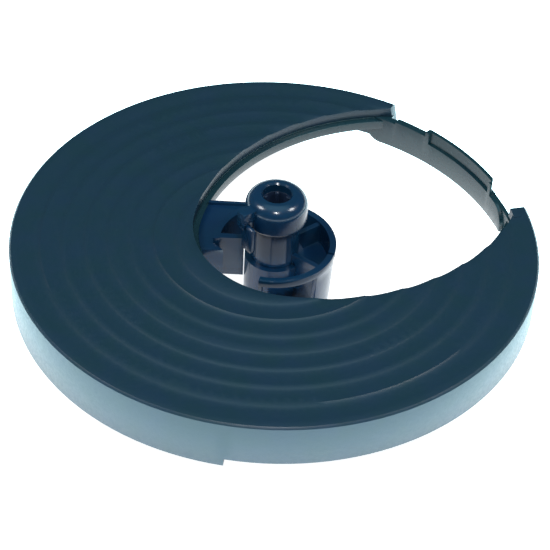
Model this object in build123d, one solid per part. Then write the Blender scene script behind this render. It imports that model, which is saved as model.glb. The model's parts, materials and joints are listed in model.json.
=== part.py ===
"""Insert carrier disc of a food processor: a rippled disc on a drive hub, millimetres.

The hub axis is Z and the hub's lowest rim is at Z = 0.  The insert opening is
symmetrical about a radial line, the opening axis.  Pieces round the opening are
drawn with that line along +X and then turned into place.
"""
from build123d import *
import math
import os

# Disc
disc_r = 87.5                  # outer radius of the disc
plate_top = 30.0               # height of the plate's top face above the hub's rim
plate_t = 2.6                  # plate thickness
skirt_t = 2.2                  # thickness of the wall that hangs from the disc's edge
skirt_depth = 15.4             # depth of that wall below the plate's top face
deep_skirt_depth = 18.2        # its depth opposite the opening
deep_skirt_half = 43.5         # half the angle that the deep part spans, degrees
edge_bevel = 0.7               # bevel round the plate's top edge

# Ripples that carry food over the plate
ripple_start = 32.5            # radius of the first crest
ripple_pitch = 7.45            # distance between crests
ripple_count = int((disc_r - skirt_t - ripple_start) / ripple_pitch)
ripple_depth = 0.45            # depth of a trough

# Insert opening
opening_axis = 38.5            # direction of the opening's middle line, degrees
side_arc_r = 74.5              # radius of the two long sides
nose_arc_r = 35.0              # radius of the end round the hub
nose_centre_x = 9.5            # place of the nose arc's centre along the opening axis
mouth_half = 20.1              # half the angle between the side arcs at the disc's edge, degrees
horn_top_half = 23.7           # half the mouth's angle at the plate's top, degrees
horn_low_half = 21.6           # half the mouth's angle at the skirt's bottom, degrees
lug_w = 5.6                    # width of the lug at the tip of one horn, from the skirt inwards
lug_angle = 3.2                # angle that the lug spans, degrees

# Ledge that the insert rests on
opening_wall_h = 4.3           # depth of the ledge below the plate's top face
opening_wall_t = 2.0           # thickness of the wall round the opening
ledge_w = 2.0                  # width of the ledge
ledge_h = 3.4                  # height of the rail that forms the ledge
rail_step = 0.6                # how far the rail rises behind the ledge, to meet the wall
rail_clear = 0.15              # distance of that step in front of the wall

# Band that closes the opening at the disc's edge
band_inset = 1.7               # gap between the skirt's inner face and the band
band_t = 2.6                   # radial thickness
band_depth = 14.1              # depth of its lower edge below the plate's top face
band_half = 28.5               # half the angle that it spans, degrees
foot_start = 23.0              # where its feet begin to reach out to the skirt, degrees
band_corner_r = 5.0            # rounding of its lower corner
high_end = 21.0                # end of its high part, degrees
high_drop = 2.9                # depth of the high part's top below the plate's top face
tab_start = -13.4              # the raised latch wall's ends, degrees from the axis
tab_end = 11.9
tab_rise = 1.0                 # depth of the latch wall's top below the plate's top face
tab_wall_t = 1.4               # thickness of the latch wall
tab_end_angle = 1.1            # angle that each end wall of the pocket spans, degrees
tab_cut_angle = 2.1            # angle that the slanted corner of the latch wall spans, degrees
pocket_floor = 5.6             # depth of the pocket's floor below the plate's top face
low_drop = 5.9                 # depth of the band's lowered end below the plate's top face
low_end = -20.5                # end of that part's thick stretch, degrees
low_corner_r = 6.5             # rounding of the thick stretch's upper corner

# Hub bracket
ring_r = 20.5                  # outer radius of the flange
flange_h = 2.4                 # height of the flange
flange_drop = 2.0              # depth of the flange's top below the plate's top face
flange_overhang = 0.3          # how far the flange stands out from the wall
cup_wall_t = 1.9               # thickness of the cup wall
flange_w = flange_overhang + cup_wall_t
cup_draft = 1.4                # how much smaller the wall's radius is at its bottom
ring_start = -103.0            # the ring's two ends, degrees
ring_end = 180.0
deep_wall_end = 110.0          # where the wall stops reaching the hub's rim, degrees
shallow_wall_depth = 18.0      # depth of the rest of the wall below the plate's top face
window_end = -44.0             # the window under the flange runs from ring_start to here
window_low = 12.0              # height of the window's sill
slit_angle = -14.5             # direction of the small slit in the flange, degrees
slit_w = 0.8
slit_depth = 1.3
rib_angles = (38.0, -36.0, 88.0)
rib_t = 1.8
rib_drop = 2.9                 # depth of the ribs' tops below the plate's top face
rib_low = 2.0                  # height of the ribs' lower edges
web_drop = 10.0                # depth of the web between the first two ribs
web_t = 2.0                    # thickness of that web
end_wall_t = 2.3               # thickness of the wall that closes the ring's end
end_wall_y = 0.4               # its front face
end_wall_x = 10.3 - ring_r     # its end beside the tower

# Arm from the hub to the plate
arm_front = -3.3               # front edge, along Y
arm_back = ring_r + 0.7        # back edge, along Y
arm_inner_x = 3.6 - ring_r     # the front corner nearest to the drive tower
arm_root_x = nose_centre_x - nose_arc_r - 11.5  # end of the arm under the plate
arm_deck_t = 6.4               # thickness of the deck
arm_wall_t = 2.3               # thickness of its walls
lip_h = 1.0                    # height of the raised lip at the deck's back edge
lip_w = 1.2

# Drive bush and tower
bore_r = 4.6                   # radius of the bush's splined bore
spline_count = 6
spline_w = 1.4
spline_h = 0.9
entry_r = bore_r + 0.5         # radius of the plain entry for the spindle
entry_length = 8.0             # length of that entry
bush_r = bore_r + 1.8          # outer radius of the bush
bush_gap = 3.2                 # height of the lip that holds the bush in
sleeve_r = bush_r + 1.7        # outer radius of the tower's body
tower_r = bush_r + 3.85        # outer radius of its head
foot_r = sleeve_r + 1.8        # outer radius of the tower's foot
foot_drop = 7.0                # depth of the foot's top below the plate's top face
tower_rise = 18.6              # height of its top above the plate's top face
head_h = 11.2                  # height of the head
head_shoulder_r = 4.7          # rounding of the head's top
head_under_r = 1.8             # rounding of the head's underside
mouth_r = bore_r + 0.2         # radius of the bore's mouth
mouth_bevel = 0.5

# Locating key on the tower, and the snap tongue that hangs from it
key_angle = 219.0              # direction from the hub axis, degrees
key_reach = tower_r + 4.2      # distance of the key's end face from the hub axis
key_side_a = -1.95             # the key's two sides, across that direction
key_side_b = 1.6
key_rise = 16.5                # height of its top above the plate's top face
key_h = 6.0                    # height of the key
key_skin = 0.4                 # wall left in front of the tongue's socket
tongue_side_a = -0.2           # the tongue's two sides, across the key's direction
tongue_side_b = 4.9
tongue_t = 1.7                 # thickness of the tongue
tongue_length = 9.0            # length of the tongue below its pivot
tongue_gap = 0.3               # clearance round the tongue's root


def polar(radius, angle):
    """The point at a radius and an angle in degrees."""
    return (radius * math.cos(math.radians(angle)), radius * math.sin(math.radians(angle)))


def prism(face, low, high):
    """A flat face on the XY plane made into a solid between two heights."""
    return extrude(Pos(0, 0, low) * face, amount=high - low)


def rectangle(x_low, x_high, y_low, y_high):
    """A rectangle between two corners."""
    centre = Pos((x_low + x_high) / 2, (y_low + y_high) / 2)
    return centre * Rectangle(x_high - x_low, y_high - y_low)


def sector(inner, outer, start, end):
    """A stretch of a flat ring, anticlockwise from start to end in degrees."""
    middle = (start + end) / 2
    outside = ThreePointArc(polar(outer, start), polar(outer, middle), polar(outer, end))
    inside = ThreePointArc(polar(inner, end), polar(inner, middle), polar(inner, start))
    ends = [Line(outside @ 1, inside @ 0), Line(inside @ 1, outside @ 0)]
    return make_face([outside, inside] + ends)


def side_centre():
    """Centre of the upper side arc: tangent to the nose arc, and through the mouth's corner."""
    mouth_x, mouth_y = polar(disc_r, mouth_half)
    reach_x = mouth_x - nose_centre_x
    gap = math.hypot(reach_x, mouth_y)
    near = side_arc_r - nose_arc_r
    along = (near**2 - side_arc_r**2 + gap**2) / (2 * gap)
    across = math.sqrt(near**2 - along**2)
    x = nose_centre_x + (along * reach_x + across * mouth_y) / gap
    return (x, (along * mouth_y - across * reach_x) / gap)


def opening_face(grow):
    """The insert opening, grown by a distance: two long arcs tangent to a nose arc."""
    centre_x, centre_y = side_centre()
    side_r = side_arc_r + grow
    mouth_x = disc_r + 10
    mouth_angle = math.acos((mouth_x - centre_x) / side_r)
    tangent_angle = math.atan2(-centre_y, nose_centre_x - centre_x)

    def side_point(angle, side):
        x = centre_x + side_r * math.cos(angle)
        y = centre_y + side_r * math.sin(angle)
        return (x, side * y)

    def side_arc(side):
        middle = (mouth_angle + tangent_angle) / 2
        points = [side_point(angle, side) for angle in (mouth_angle, middle, tangent_angle)]
        return ThreePointArc(*points)

    upper = side_arc(1)
    lower = side_arc(-1)
    nose_tip = (nose_centre_x - nose_arc_r - grow, 0)
    nose = ThreePointArc(upper @ 1, nose_tip, lower @ 1)
    mouth = Line(upper @ 0, lower @ 0)
    return make_face([upper, nose, lower, mouth])


def mouth_wedge():
    """The gap between the disc's two horns, narrower at the bottom."""
    near = disc_r * 0.7
    far = disc_r * 1.2
    faces = []
    for height, half in ((plate_top - skirt_depth, horn_low_half), (plate_top, horn_top_half)):
        slope = math.tan(math.radians(half))
        corners = [(near, -near * slope), (far, -far * slope), (far, far * slope), (near, near * slope)]
        faces.append(Pos(0, 0, height) * make_face(Polyline(*corners, close=True)))
    wedge = loft(faces, ruled=True)
    slope = math.tan(math.radians(horn_low_half))
    corners = [(near, -near * slope), (far, -far * slope), (far, far * slope), (near, near * slope)]
    below = prism(make_face(Polyline(*corners, close=True)), 0, plate_top - skirt_depth)
    return wedge + below


def disc_profile():
    """Half the disc's section: plate, rippled top, bevelled edge and deep skirt."""
    edges = []
    crest = ripple_start
    for _ in range(ripple_count):
        near = (crest + 0.15 * ripple_pitch, plate_top - 1.6 * ripple_depth)
        far = (crest + 0.5 * ripple_pitch, plate_top - 1.1 * ripple_depth)
        edges.append(Bezier((crest, plate_top), near, far, (crest + ripple_pitch, plate_top)))
        crest += ripple_pitch
    underside = plate_top - plate_t
    outline = [
        (crest, plate_top),
        (disc_r - edge_bevel, plate_top),
        (disc_r, plate_top - edge_bevel),
        (disc_r, plate_top - deep_skirt_depth),
        (disc_r - skirt_t, plate_top - deep_skirt_depth),
        (disc_r - skirt_t, underside),
        (0, underside),
        (0, plate_top),
        (ripple_start, plate_top),
    ]
    edges.append(Polyline(*outline))
    return Plane.XZ * make_face(edges)


def carrier_disc():
    """Rippled plate with its skirt, its opening and the wall round the opening."""
    body = revolve(disc_profile(), axis=Axis.Z)
    wall_face = opening_face(opening_wall_t) - opening_face(0)
    wall = prism(wall_face, rail_top(), plate_top - plate_t / 2)
    wall &= Cylinder(disc_r - skirt_t / 2, 3 * plate_top)
    body += Rot(0, 0, opening_axis) * wall
    cutter = prism(opening_face(0), -1, plate_top + 1)
    # The opening's outline runs past the skirt, so the cut stops at the mouth's wedge there.
    cutter &= Cylinder(disc_r - skirt_t, 3 * plate_top)
    body -= Rot(0, 0, opening_axis) * cutter
    tip = sector(disc_r - lug_w, disc_r - skirt_t / 2, -horn_top_half - lug_angle, -horn_low_half)
    body += Rot(0, 0, opening_axis) * prism(tip, rail_top(), plate_top)
    body -= Rot(0, 0, opening_axis) * mouth_wedge()
    start = opening_axis + 180 + deep_skirt_half
    end = opening_axis + 540 - deep_skirt_half
    shallow = sector(disc_r - 2 * skirt_t, disc_r + 1, start, end)
    body -= prism(shallow, -1, plate_top - skirt_depth)
    return body


def rail_top():
    """Height of the rail's top behind the ledge, where the opening's wall stands on it."""
    return plate_top - opening_wall_h + rail_step


def band_envelope():
    """The space that the band and its feet fill, as one plain stretch of ring."""
    inner = disc_r - skirt_t - band_inset - band_t
    face = sector(inner, disc_r - skirt_t, -band_half, band_half)
    return prism(face, plate_top - band_depth, rail_top())


def rim_band():
    """Band across the mouth, with a raised latch wall and a pocket in front of it."""
    outer = disc_r - skirt_t - band_inset
    inner = outer - band_t
    wall_r = outer - tab_wall_t
    low = plate_top - band_depth

    def piece(inside, outside, start, end, high):
        return prism(sector(inside, outside, start, end), low, high)

    band = piece(inner, outer, high_end, band_half, rail_top())
    corner = band.edges().filter_by_position(Axis.Z, low - 0.1, low + 0.1).sort_by(Axis.Y)[-1]
    band = fillet(corner, band_corner_r)
    band += piece(inner, outer, tab_end, high_end, plate_top - high_drop)
    band += piece(inner, outer, tab_start, tab_end, plate_top - pocket_floor)
    raised = piece(inner, outer, tab_end - tab_end_angle, tab_end, plate_top - tab_rise)
    raised += piece(inner, outer, tab_start, tab_start + tab_end_angle, plate_top - tab_rise)
    raised += piece(wall_r, outer, tab_start, tab_end, plate_top - tab_rise)
    corners = [
        polar(outer + 0.2, tab_start - 0.2),
        polar(outer + 0.2, tab_start + tab_cut_angle),
        polar(inner + 0.5, tab_start - 0.2),
    ]
    raised -= prism(make_face(Polyline(*corners, close=True)), plate_top - pocket_floor, plate_top)
    band += raised
    thick = piece(inner, outer, low_end, tab_start, plate_top - low_drop)
    end_edges = thick.faces().sort_by(Axis.Y)[0].edges()
    band += fillet(end_edges.sort_by(Axis.Z)[-1], low_corner_r)
    band += piece(wall_r, outer, -band_half, tab_start, plate_top - low_drop)
    gap = band_inset + band_t
    for start, end in ((foot_start, band_half), (-band_half, -foot_start)):
        foot = sector(disc_r - skirt_t - gap / 2, disc_r - skirt_t, start, end)
        band += prism(foot, low, rail_top())
    return Rot(0, 0, opening_axis) * band


def insert_rail():
    """Ledge round the opening, under its wall, ending at the rim band."""
    ledge = plate_top - opening_wall_h
    whole = opening_face(opening_wall_t)
    rail = prism(whole - opening_face(-ledge_w), ledge - ledge_h, ledge)
    rail += prism(whole - opening_face(-rail_clear), ledge - ledge_h, rail_top())
    rail &= Cylinder(disc_r - skirt_t, 3 * plate_top)
    rail -= band_envelope()
    half = horn_low_half
    mouth = sector(disc_r / 2, disc_r + 1, -half, half)
    rail -= prism(mouth, 0, plate_top)
    return Rot(0, 0, opening_axis) * rail


def tower_envelope():
    """The tower's outer shape without its bore: a rounded head on a plain body."""
    top = plate_top + tower_rise
    head = Pos(0, 0, top - head_h / 2) * Cylinder(tower_r, head_h)
    head = fillet(head.edges().sort_by(Axis.Z)[-1], head_shoulder_r)
    under = head.edges().filter_by(GeomType.CIRCLE).sort_by(Axis.Z)[0]
    head = fillet(under, head_under_r)
    foot_h = plate_top - foot_drop
    body = Pos(0, 0, (top - 2) / 2) * Cylinder(sleeve_r, top - 2)
    return head + body + Pos(0, 0, foot_h / 2) * Cylinder(foot_r, foot_h)


def drive_tower():
    """Tower with a rounded head, hollow for the bush."""
    top = plate_top + tower_rise
    bush_top = top - bush_gap
    tower = tower_envelope()
    tower -= Pos(0, 0, bush_top / 2) * Cylinder(bush_r, bush_top)
    tower -= Pos(0, 0, top) * Cylinder(mouth_r, 4 * bush_gap)
    rim = tower.edges().filter_by(GeomType.CIRCLE).sort_by(Axis.Z)[-1]
    return chamfer(rim, mouth_bevel)


def drive_bush():
    """Splined bush that the drive spindle turns, with a wider plain entry at its foot."""
    length = plate_top + tower_rise - bush_gap
    bush = Pos(0, 0, length / 2) * Cylinder(bush_r, length)
    bush -= Pos(0, 0, length / 2) * Cylinder(bore_r, length + 2)
    bush -= Cylinder(entry_r, 2 * entry_length)
    wall = (bush_r + bore_r) / 2
    for index in range(spline_count):
        face = rectangle(bore_r - spline_h, wall, -spline_w / 2, spline_w / 2)
        spline = prism(face, entry_length, length)
        bush += Rot(0, 0, 360 * (index + 0.5) / spline_count) * spline
    return bush


def cup_section(low):
    """Half-section of the cup wall and its flange, from a height up to the flange's top."""
    top = plate_top - flange_drop
    under = top - flange_h
    wall_r = ring_r - flange_overhang
    low_r = wall_r - cup_draft * (under - low) / under
    outline = [
        (ring_r - flange_w, top),
        (ring_r, top),
        (ring_r, under),
        (wall_r, under),
        (low_r, low),
        (low_r - cup_wall_t, low),
        (ring_r - flange_w, under),
    ]
    return Plane.XZ * make_face(Polyline(*outline, close=True))


def cup():
    """The open ring round the tower, with its window, slit and end wall."""
    low = plate_top - shallow_wall_depth
    deep = Rot(0, 0, ring_start) * cup_section(0)
    ring = revolve(deep, axis=Axis.Z, revolution_arc=deep_wall_end - ring_start)
    shallow = Rot(0, 0, deep_wall_end) * cup_section(low)
    ring += revolve(shallow, axis=Axis.Z, revolution_arc=ring_end - deep_wall_end)
    top = plate_top - flange_drop
    window = sector(ring_r / 2, ring_r + 5, ring_start + 3, window_end)
    ring -= prism(window, window_low, top - flange_h)
    slit = prism(rectangle(ring_r - 2 * flange_w, ring_r + 1, -slit_w / 2, slit_w / 2), top - slit_depth, top + 1)
    ring -= Rot(0, 0, slit_angle) * slit
    end_face = rectangle(-ring_r + flange_overhang, end_wall_x, end_wall_y, end_wall_y + end_wall_t)
    ring += prism(end_face, low, top)
    return ring


def arm_face():
    """Plan of the arm: from the ring to under the plate."""
    corners = [
        (arm_root_x, arm_front),
        (arm_inner_x, arm_front),
        (-ring_r, end_wall_y),
        (-ring_r, end_wall_y + end_wall_t),
        (0, arm_back),
        (arm_root_x, arm_back),
    ]
    return make_face(Polyline(*corners, close=True))


def arm():
    """Hollow-backed arm whose deck lies level with the ledge and passes under the rail."""
    turn = Rot(0, 0, opening_axis)
    ledge_top = plate_top - opening_wall_h
    deck_low = ledge_top - arm_deck_t
    low = plate_top - shallow_wall_depth
    outline = arm_face()
    inside = outline & (turn * opening_face(-ledge_w))
    outside = outline - (turn * opening_face(opening_wall_t))
    body = prism(outline, deck_low, ledge_top - ledge_h)
    body += prism(inside, deck_low, ledge_top)
    body += prism(outside, deck_low, plate_top - plate_t)
    front = rectangle(arm_root_x, arm_inner_x, arm_front, arm_front + arm_wall_t)
    back = rectangle(arm_root_x, 0, arm_back - arm_wall_t, arm_back)
    for wall in (front, back):
        body += prism(wall & outline, low, deck_low)
    lip = rectangle(arm_root_x, 0, arm_back - lip_w, arm_back) & inside
    body += prism(lip, ledge_top, ledge_top + lip_h)
    hollow = Circle(ring_r - flange_overhang - cup_wall_t / 2)
    hollow -= rectangle(-ring_r, 0, -ring_r, end_wall_y)
    body -= prism(hollow, -1, plate_top)
    return body


def hub_bracket():
    """Cup and arm in one moulding, with ribs that meet the tower."""
    body = cup() + arm()
    reach = ring_r - flange_w / 2
    for angle in rib_angles:
        face = rectangle(sleeve_r / 2, reach, -rib_t / 2, rib_t / 2)
        body += Rot(0, 0, angle) * (prism(face, rib_low, plate_top - rib_drop) & cup_core())
    web = sector(sleeve_r / 2, reach, rib_angles[1], rib_angles[0])
    high = plate_top - web_drop
    body += prism(web, high - web_t, high) & cup_core()
    return body - tower_envelope()


def cup_core():
    """The space inside the cup, up to the middle of its wall."""
    under = plate_top - flange_drop
    wall_r = ring_r - flange_overhang - cup_wall_t / 2
    return Pos(0, 0, under / 2) * Cone(wall_r - cup_draft, wall_r, under)


def pivot():
    """Distance from the hub axis and height of the tongue's pivot."""
    distance = key_reach - key_skin - tongue_t / 2 - tongue_gap
    return (distance, plate_top + key_rise - key_h + tongue_t / 2)


def insert_key():
    """Block on the tower's side that locates the insert, with a socket for the tongue."""
    top = plate_top + key_rise
    distance, height = pivot()
    block = prism(rectangle(sleeve_r / 2, key_reach, key_side_a, key_side_b), top - key_h, top)
    socket_r = tongue_t / 2 + tongue_gap
    start = tongue_side_a - tongue_gap
    length = 2 * (key_side_b - start)
    socket = Pos(distance, start + length / 2, height) * Rot(90, 0, 0) * Cylinder(socket_r, length)
    slot = rectangle(distance - socket_r, distance + socket_r, start, start + length)
    cut = socket + prism(slot, height - 2 * key_h, height)
    return Rot(0, 0, key_angle) * (block - cut) - tower_envelope()


def snap_tongue():
    """Spring tongue that hangs from the key and holds the insert's inner edge."""
    distance, height = pivot()
    width = tongue_side_b - tongue_side_a
    middle = (tongue_side_a + tongue_side_b) / 2
    root = Pos(distance, middle, height) * Rot(90, 0, 0) * Cylinder(tongue_t / 2, width)
    half = tongue_t / 2
    face = rectangle(distance - half, distance + half, tongue_side_a, tongue_side_b)
    blade = prism(face, height - tongue_length, height)
    tip = blade.faces().sort_by(Axis.Z)[0].edges().filter_by(Axis.X)
    blade = fillet(tip, width * 0.2)
    return Rot(0, 0, key_angle) * (blade + root)


def main():
    """Writes every piece to its own file."""
    os.makedirs("parts", exist_ok=True)
    pieces = {
        "carrier_disc": carrier_disc(),
        "insert_rail": insert_rail(),
        "rim_band": rim_band(),
        "hub_bracket": hub_bracket(),
        "drive_tower": drive_tower(),
        "drive_bush": drive_bush(),
        "insert_key": insert_key(),
        "snap_tongue": snap_tongue(),
    }
    for name, piece in pieces.items():
        piece.label = name
        export_step(piece, f"parts/{name}.step")


main()
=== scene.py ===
import json
import math

import bmesh
import bpy
from mathutils import Matrix, Vector


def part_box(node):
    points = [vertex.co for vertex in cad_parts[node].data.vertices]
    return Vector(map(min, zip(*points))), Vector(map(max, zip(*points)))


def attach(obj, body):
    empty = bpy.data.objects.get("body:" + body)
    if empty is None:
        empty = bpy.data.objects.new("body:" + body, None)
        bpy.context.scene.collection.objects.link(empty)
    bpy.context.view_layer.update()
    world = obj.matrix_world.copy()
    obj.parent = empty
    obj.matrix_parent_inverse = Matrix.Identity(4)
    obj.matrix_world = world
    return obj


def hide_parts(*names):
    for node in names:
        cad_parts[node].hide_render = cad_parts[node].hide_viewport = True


MM = 0.001

# Camera, set from the disc's radius
CAMERA_ELEVATION = 41.7         # degrees above the plate
CAMERA_ROLL = 2.92              # degrees
CAMERA_DISTANCE = 7.12          # in disc radii
CAMERA_LIFT = -0.1455           # in disc radii, along the picture's upright
CAMERA_LENS = 123.2             # mm
CAMERA_SENSOR = 36              # mm
CAMERA_NEAR = 0.01              # nearest distance shown, in metres

# Sky, dim round the horizon and bright only overhead
SKY_LOW = 0.14
SKY_HIGH = 1.30
SKY_RISE = (0.84, 0.97)         # sines of the elevations where it starts and stops brightening
SKY_TINT = (0.46, 0.86, 1.0)

# Lamps: azimuth and elevation in degrees, distance and side in metres, watts.
# Azimuth 0 is the camera's side.
LAMPS = {
    "left_box": (-82, 50, 0.9, 0.22, 3.2),
    "right_box": (82, 50, 0.9, 0.22, 3.2),
    "front_lamp": (0, 56, 0.8, 0.05, 2.5),
}

# Floor whose glow is painted light: brightest in a ring round the disc, dimmer under the disc
# as its painted shadow
FLOOR_HALF = 3.0                # half its side, in metres
FLOOR_WHITES = ((0.93, 0.93, 0.925), (0.95, 0.95, 0.945))
FLOOR_PATCH = (60 * MM, 2.0)    # a noise: grain size and detail
FLOOR_ROUGHNESS = 0.7
FLOOR_SPECULAR = 0.2
FLOOR_GLOW = 3.6                # brightness of the ring's painted light
FLOOR_SHADE = 1.0               # glow under the disc, a painted shadow of the disc, and far away
FLOOR_TINT = (0.62, 0.93, 1.0)  # tint of the ring's painted light
FLOOR_INNER = (0.9, 1.2)        # where the ring begins, in disc radii
FLOOR_OUTER = (3.0, 5.0)        # where it fades out, in disc radii
WHITE = (1.0, 1.0, 1.0)

# Plastics: colours, range of roughness, depth of the relief
DISC_TEAL = (((0.006, 0.027, 0.042), (0.007, 0.026, 0.050)), (0.36, 0.44), 0.03 * MM)
HUB_NAVY = (((0.003, 0.020, 0.060), (0.004, 0.027, 0.060)), (0.16, 0.24), 0.02 * MM)
FRAME_SLATE = (((0.006, 0.026, 0.038), (0.007, 0.031, 0.040)), (0.20, 0.30), 0.02 * MM)
BUSH_NAVY = (((0.008, 0.016, 0.040), (0.010, 0.020, 0.044)), (0.30, 0.40), 0.01 * MM)
PLASTIC_IOR = 1.5

# Noises of the colour patches, of the uneven gloss and of the relief: grain size and detail
MATT_NOISES = ((9 * MM, 2.0), (1.2 * MM, 2.0), (0.35 * MM, 3.0))
GLOSS_NOISES = ((14 * MM, 2.0), (2.5 * MM, 4.0), (5 * MM, 2.0))
NOISE_RANGE = (0.3, 0.7)        # most of a noise's values lie in it

# Edges
WELD = 0.002 * MM               # points closer than this are joined
FLAT_ANGLE = math.radians(0.5)  # faces that meet flatter than this are merged
EDGE_ANGLE = math.radians(38)   # sharper edges than this are rounded
EDGE_SEGMENTS = 2
EDGE_PROFILE = 0.5              # a circular rounding
SMOOTH_ANGLE = math.radians(30)


def node_tree(name):
    """A new material with its tree, its shader and its object coordinates."""
    material = bpy.data.materials.new(name)
    material.use_nodes = True
    tree = material.node_tree
    shader = tree.nodes["Principled BSDF"]
    place = tree.nodes.new("ShaderNodeTexCoord").outputs["Object"]
    return material, tree, shader, place


def noise(tree, place, size, detail):
    """A noise whose grains measure about that size in metres."""
    texture = tree.nodes.new("ShaderNodeTexNoise")
    texture.inputs["Scale"].default_value = 1.0 / size
    texture.inputs["Detail"].default_value = detail
    tree.links.new(place, texture.inputs["Vector"])
    return texture.outputs["Fac"]


def remap(tree, value, reach, result, kind):
    """Maps a value from one range to another."""
    node = tree.nodes.new("ShaderNodeMapRange")
    node.interpolation_type = kind
    node.inputs["From Min"].default_value = reach[0]
    node.inputs["From Max"].default_value = reach[1]
    node.inputs["To Min"].default_value = result[0]
    node.inputs["To Max"].default_value = result[1]
    tree.links.new(value, node.inputs["Value"])
    return node.outputs["Result"]


def spread(tree, value, result):
    """Maps a noise's middle range to another range."""
    return remap(tree, value, NOISE_RANGE, result, "LINEAR")


def ramp(tree, value, reach, result):
    """Maps a value smoothly from one range to another."""
    return remap(tree, value, reach, result, "SMOOTHSTEP")


def blend_colours(tree, value, first, second):
    """Mixes two colours by a value from 0 to 1."""
    node = tree.nodes.new("ShaderNodeMix")
    node.data_type = "RGBA"
    node.inputs["A"].default_value = (*first, 1)
    node.inputs["B"].default_value = (*second, 1)
    tree.links.new(value, node.inputs["Factor"])
    return node.outputs["Result"]


def bump(tree, shader, height, depth):
    """Gives the surface a relief with that depth in metres."""
    node = tree.nodes.new("ShaderNodeBump")
    node.inputs["Strength"].default_value = 1.0
    node.inputs["Distance"].default_value = depth
    tree.links.new(height, node.inputs["Height"])
    tree.links.new(node.outputs["Normal"], shader.inputs["Normal"])


def plastic(name, look, noises):
    """Moulded plastic: two close colours in patches, uneven gloss and a fine relief."""
    material, tree, shader, place = node_tree(name)
    colours, roughness, depth = look
    patch, gloss, relief = [noise(tree, place, *grain) for grain in noises]
    colour = blend_colours(tree, spread(tree, patch, (0.0, 1.0)), *colours)
    tree.links.new(colour, shader.inputs["Base Color"])
    tree.links.new(spread(tree, gloss, roughness), shader.inputs["Roughness"])
    shader.inputs["IOR"].default_value = PLASTIC_IOR
    bump(tree, shader, relief, depth)
    return material


def rounded_copy(node, width):
    """A copy of a CAD node with welded faces, rounded edges and smooth curves."""
    source = frame["nodes"][node]
    mesh = source.data.copy()
    piece = bpy.data.objects.new(node + "_moulding", mesh)
    bpy.context.scene.collection.objects.link(piece)
    shape = bmesh.new()
    shape.from_mesh(mesh)
    bmesh.ops.remove_doubles(shape, verts=shape.verts, dist=WELD)
    bmesh.ops.dissolve_limit(
        shape, angle_limit=FLAT_ANGLE, verts=shape.verts, edges=shape.edges
    )
    if width > 0:
        bmesh.ops.bevel(
            shape,
            geom=[
                edge
                for edge in shape.edges
                if len(edge.link_faces) == 2 and edge.calc_face_angle(0) > EDGE_ANGLE
            ],
            offset=width,
            offset_type="OFFSET",
            segments=EDGE_SEGMENTS,
            profile=EDGE_PROFILE,
            affect="EDGES",
            clamp_overlap=True,
        )
    bmesh.ops.triangulate(shape, faces=[face for face in shape.faces if len(face.verts) > 4])
    for face in shape.faces:
        face.smooth = True
    for edge in shape.edges:
        edge.smooth = len(edge.link_faces) == 2 and edge.calc_face_angle(0) < SMOOTH_ANGLE
    shape.to_mesh(mesh)
    shape.free()
    return piece


def dress(piece, material):
    """Gives a piece one material."""
    piece.data.materials.clear()
    piece.data.materials.append(material)


def place_camera(centre, radius):
    """Camera above the disc's front, turned a little about its own axis."""
    tilt = math.radians(CAMERA_ELEVATION)
    roll = math.radians(CAMERA_ROLL)
    back = Vector((0, -math.cos(tilt), math.sin(tilt)))
    level = Vector((1, 0, 0))
    rise = back.cross(level)
    right = math.cos(roll) * level + math.sin(roll) * rise
    up = math.cos(roll) * rise - math.sin(roll) * level
    spot = centre + radius * (CAMERA_DISTANCE * back + CAMERA_LIFT * up)
    data = bpy.data.cameras.new("camera")
    data.lens = CAMERA_LENS
    data.sensor_width = CAMERA_SENSOR
    data.clip_start = CAMERA_NEAR
    camera = bpy.data.objects.new("camera", data)
    turn = Matrix((right, up, back)).transposed().to_4x4()
    camera.matrix_world = Matrix.Translation(spot) @ turn
    bpy.context.scene.collection.objects.link(camera)
    bpy.context.scene.camera = camera


def area_light(name, azimuth, elevation, distance, size, watts, target):
    """A square lamp that faces the target."""
    data = bpy.data.lights.new(name, "AREA")
    data.size = size
    data.energy = watts
    lamp = bpy.data.objects.new(name, data)
    a = math.radians(azimuth)
    e = math.radians(elevation)
    way = Vector((math.sin(a) * math.cos(e), -math.cos(a) * math.cos(e), math.sin(e)))
    lamp.location = target + distance * way
    lamp.rotation_euler = way.to_track_quat("Z", "Y").to_euler()
    bpy.context.scene.collection.objects.link(lamp)


def studio(target):
    """Blue tent with its light overhead, a soft box at each side, a small lamp in front."""
    world = bpy.data.worlds.new("tent")
    bpy.context.scene.world = world
    world.use_nodes = True
    tree = world.node_tree
    sky = tree.nodes["Background"]
    sky.inputs["Color"].default_value = (*SKY_TINT, 1)
    way = tree.nodes.new("ShaderNodeTexCoord").outputs["Generated"]
    height = tree.nodes.new("ShaderNodeSeparateXYZ")
    tree.links.new(way, height.inputs["Vector"])
    strength = ramp(tree, height.outputs["Z"], SKY_RISE, (SKY_LOW, SKY_HIGH))
    tree.links.new(strength, sky.inputs["Strength"])
    for name, settings in LAMPS.items():
        area_light(name, *settings, target)


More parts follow.
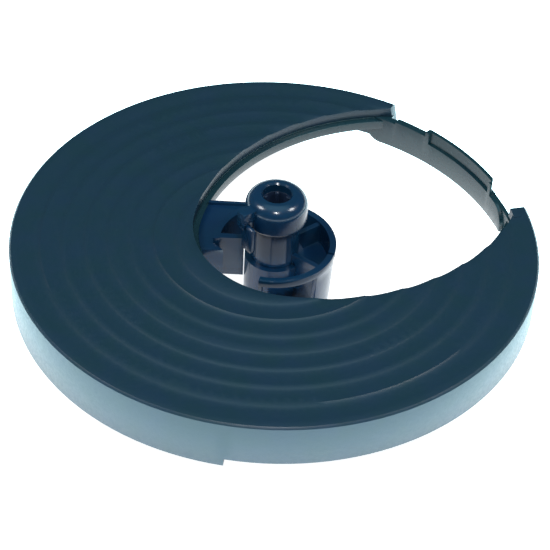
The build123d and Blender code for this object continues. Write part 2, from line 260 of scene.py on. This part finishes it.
def floor_plane(radius):
    """Pale floor under the hub whose glow is painted light: brightest in a ring round the
    disc, dimmer under it as the disc's painted shadow.
    """
    half = FLOOR_HALF
    mesh = bpy.data.meshes.new("floor")
    corners = [(-half, -half, 0), (half, -half, 0), (half, half, 0), (-half, half, 0)]
    mesh.from_pydata(corners, [], [(0, 1, 2, 3)])
    plane = bpy.data.objects.new("floor", mesh)
    bpy.context.scene.collection.objects.link(plane)
    material, tree, shader, place = node_tree("floor_white")
    tone = spread(tree, noise(tree, place, *FLOOR_PATCH), (0.0, 1.0))
    colour = blend_colours(tree, tone, *FLOOR_WHITES)
    tree.links.new(colour, shader.inputs["Base Color"])
    shader.inputs["Roughness"].default_value = FLOOR_ROUGHNESS
    shader.inputs["Specular IOR Level"].default_value = FLOOR_SPECULAR
    length = tree.nodes.new("ShaderNodeVectorMath")
    length.operation = "LENGTH"
    tree.links.new(place, length.inputs[0])
    distance = length.outputs["Value"]
    # The floor's glow is painted light: the ring stands in for a lit floor, and the dimmer
    # middle is a painted shadow of the disc
    near = ramp(tree, distance, [radius * share for share in FLOOR_INNER], (0.0, 1.0))
    far = ramp(tree, distance, [radius * share for share in FLOOR_OUTER], (1.0, 0.0))
    both = tree.nodes.new("ShaderNodeMath")
    both.operation = "MULTIPLY"
    tree.links.new(near, both.inputs[0])
    tree.links.new(far, both.inputs[1])
    ring = both.outputs["Value"]
    tint = blend_colours(tree, ring, WHITE, FLOOR_TINT)
    tree.links.new(tint, shader.inputs["Emission Color"])
    glow = ramp(tree, ring, (0.0, 1.0), (FLOOR_SHADE, FLOOR_GLOW))
    tree.links.new(glow, shader.inputs["Emission Strength"])
    dress(plane, material)


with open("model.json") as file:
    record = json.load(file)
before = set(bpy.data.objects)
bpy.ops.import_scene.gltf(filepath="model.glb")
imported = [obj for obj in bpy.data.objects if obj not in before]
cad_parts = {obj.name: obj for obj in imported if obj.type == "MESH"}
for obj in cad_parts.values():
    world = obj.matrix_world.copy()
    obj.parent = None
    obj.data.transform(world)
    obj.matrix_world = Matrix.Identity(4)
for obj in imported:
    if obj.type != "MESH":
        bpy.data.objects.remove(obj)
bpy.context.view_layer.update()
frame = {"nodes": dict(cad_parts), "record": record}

disc_low, disc_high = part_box("carrier_disc")
disc_radius = (disc_high[0] - disc_low[0]) / 2
plate_centre = Vector((0, 0, disc_high[2]))

navy = plastic("hub_gloss_navy", HUB_NAVY, GLOSS_NOISES)
slate = plastic("frame_gloss_slate", FRAME_SLATE, GLOSS_NOISES)
bush = plastic("bush_satin_navy", BUSH_NAVY, GLOSS_NOISES)
teal = plastic("disc_matt_teal", DISC_TEAL, MATT_NOISES)

# Material, width of the rounded edges, slot. Rounding spoils the tower's faces at its mouth.
LOOKS = {
    "carrier_disc": (teal, 0.25 * MM, "disc_plastic"),
    "insert_rail": (slate, 0.20 * MM, "frame_plastic"),
    "rim_band": (slate, 0.25 * MM, "frame_plastic"),
    "hub_bracket": (navy, 0.35 * MM, "hub_plastic"),
    "drive_tower": (navy, 0.0, "hub_plastic"),
    "drive_bush": (bush, 0.15 * MM, "bush_plastic"),
    "insert_key": (navy, 0.12 * MM, "hub_plastic"),
    "snap_tongue": (navy, 0.12 * MM, "hub_plastic"),
}
BODIES = frame["record"]["behaviour"]["bodies"]
for node, (material, width, slot) in LOOKS.items():
    piece = rounded_copy(node, width)
    dress(piece, material)
    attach(piece, next(body for body, nodes in BODIES.items() if node in nodes))
    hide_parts(node)

floor_plane(disc_radius)
studio(plate_centre)
place_camera(plate_centre, disc_radius)
bpy.context.scene.view_settings.view_transform = "Standard"
